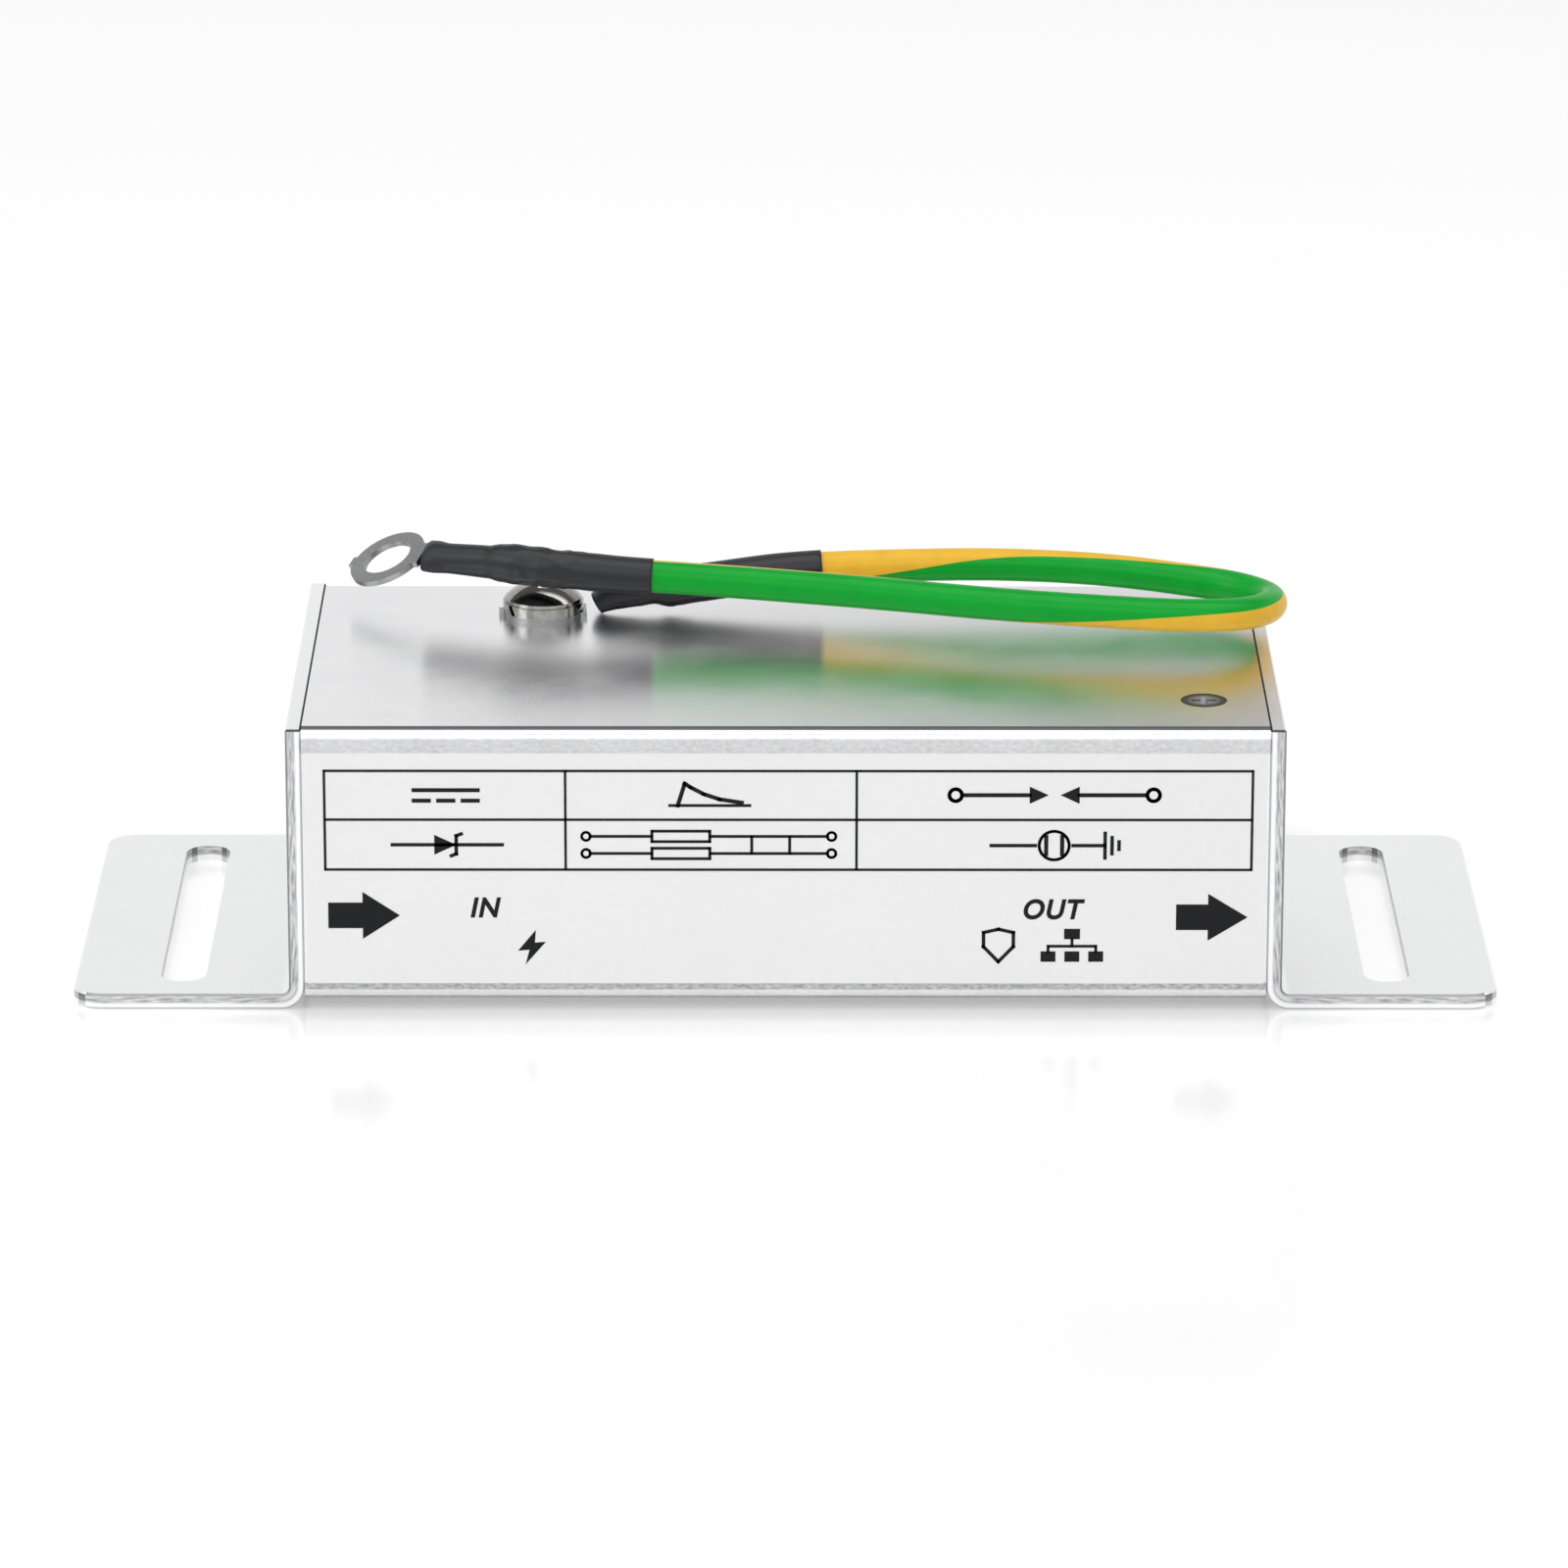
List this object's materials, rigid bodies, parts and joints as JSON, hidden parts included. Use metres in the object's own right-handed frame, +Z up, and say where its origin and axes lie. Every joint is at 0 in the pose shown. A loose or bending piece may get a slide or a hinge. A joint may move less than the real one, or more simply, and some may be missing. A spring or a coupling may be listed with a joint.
{
  "type": "ethernet surge protector",
  "caption": "Flat rectangular metal box with a network socket in each end, slotted mounting ears, a printed front and a short looped earth lead on the lid.",
  "frame": {"origin": "midway between the mounting ears, on the plane of their undersides", "axes": "+X along the box from the in socket to the out socket, +Y from the printed front to the back, +Z up through the lid"},
  "size_m": [0.1438, 0.052, 0.0378],
  "materials": {
    "blasted_aluminium": "fine blasted, clear anodised",
    "plate_aluminium": "sheared and bent sheet, clear anodised",
    "label_film": "satin printed film",
    "zinc_screw": "zinc plated",
    "tinned_steel": "tin plated",
    "socket_plastic": "moulded, satin",
    "gilt_contact": "gold flashed",
    "board_laminate": "green solder mask",
    "brass_post": "turned",
    "black_screw": "black oxide",
    "nickel_washer": "nickel plated",
    "nickel_screw": "nickel plated",
    "lead_insulation": "green and yellow PVC",
    "heat_shrink": "shrunk polyolefin, satin",
    "tinned_copper": "tin plated, dull",
    "bare_copper": "stranded",
    "gas_tube_ceramic": "glazed ceramic",
    "diode_body": "moulded epoxy",
    "resistor_body": "glazed chip"
  },
  "bodies": {
    "root": {"board_screw": "black_screw", "circuit_board": "board_laminate", "clamp_diode_1": "diode_body", "clamp_diode_2": "diode_body", "clamp_diode_3": "diode_body", "clamp_diode_4": "diode_body", "clinch_nut": "zinc_screw", "conductor_ends": "bare_copper", "earth_post": "brass_post", "end_plate_in": "plate_aluminium", "end_plate_out": "plate_aluminium", "end_screws_in": "zinc_screw", "end_screws_out": "zinc_screw", "fixed_ring_terminal": "tinned_copper", "fixed_sleeve": "heat_shrink", "free_ring_terminal": "tinned_copper", "free_sleeve": "heat_shrink", "front_label": "label_film", "gas_tube_1": "gas_tube_ceramic", "gas_tube_2": "gas_tube_ceramic", "gas_tube_3": "gas_tube_ceramic", "gas_tube_4": "gas_tube_ceramic", "ground_screw": "nickel_screw", "ground_wire": "lead_insulation", "housing_tube": "blasted_aluminium", "jack_contacts_in": "gilt_contact", "jack_contacts_out": "gilt_contact", "jack_insert_in": "socket_plastic", "jack_insert_out": "socket_plastic", "jack_shield_in": "tinned_steel", "jack_shield_out": "tinned_steel", "lock_washer": "nickel_washer", "post_screw": "zinc_screw", "series_resistor_1": "resistor_body", "series_resistor_2": "resistor_body", "series_resistor_3": "resistor_body", "series_resistor_4": "resistor_body", "series_resistor_5": "resistor_body", "series_resistor_6": "resistor_body", "series_resistor_7": "resistor_body", "series_resistor_8": "resistor_body"}
  },
  "joints": []
}
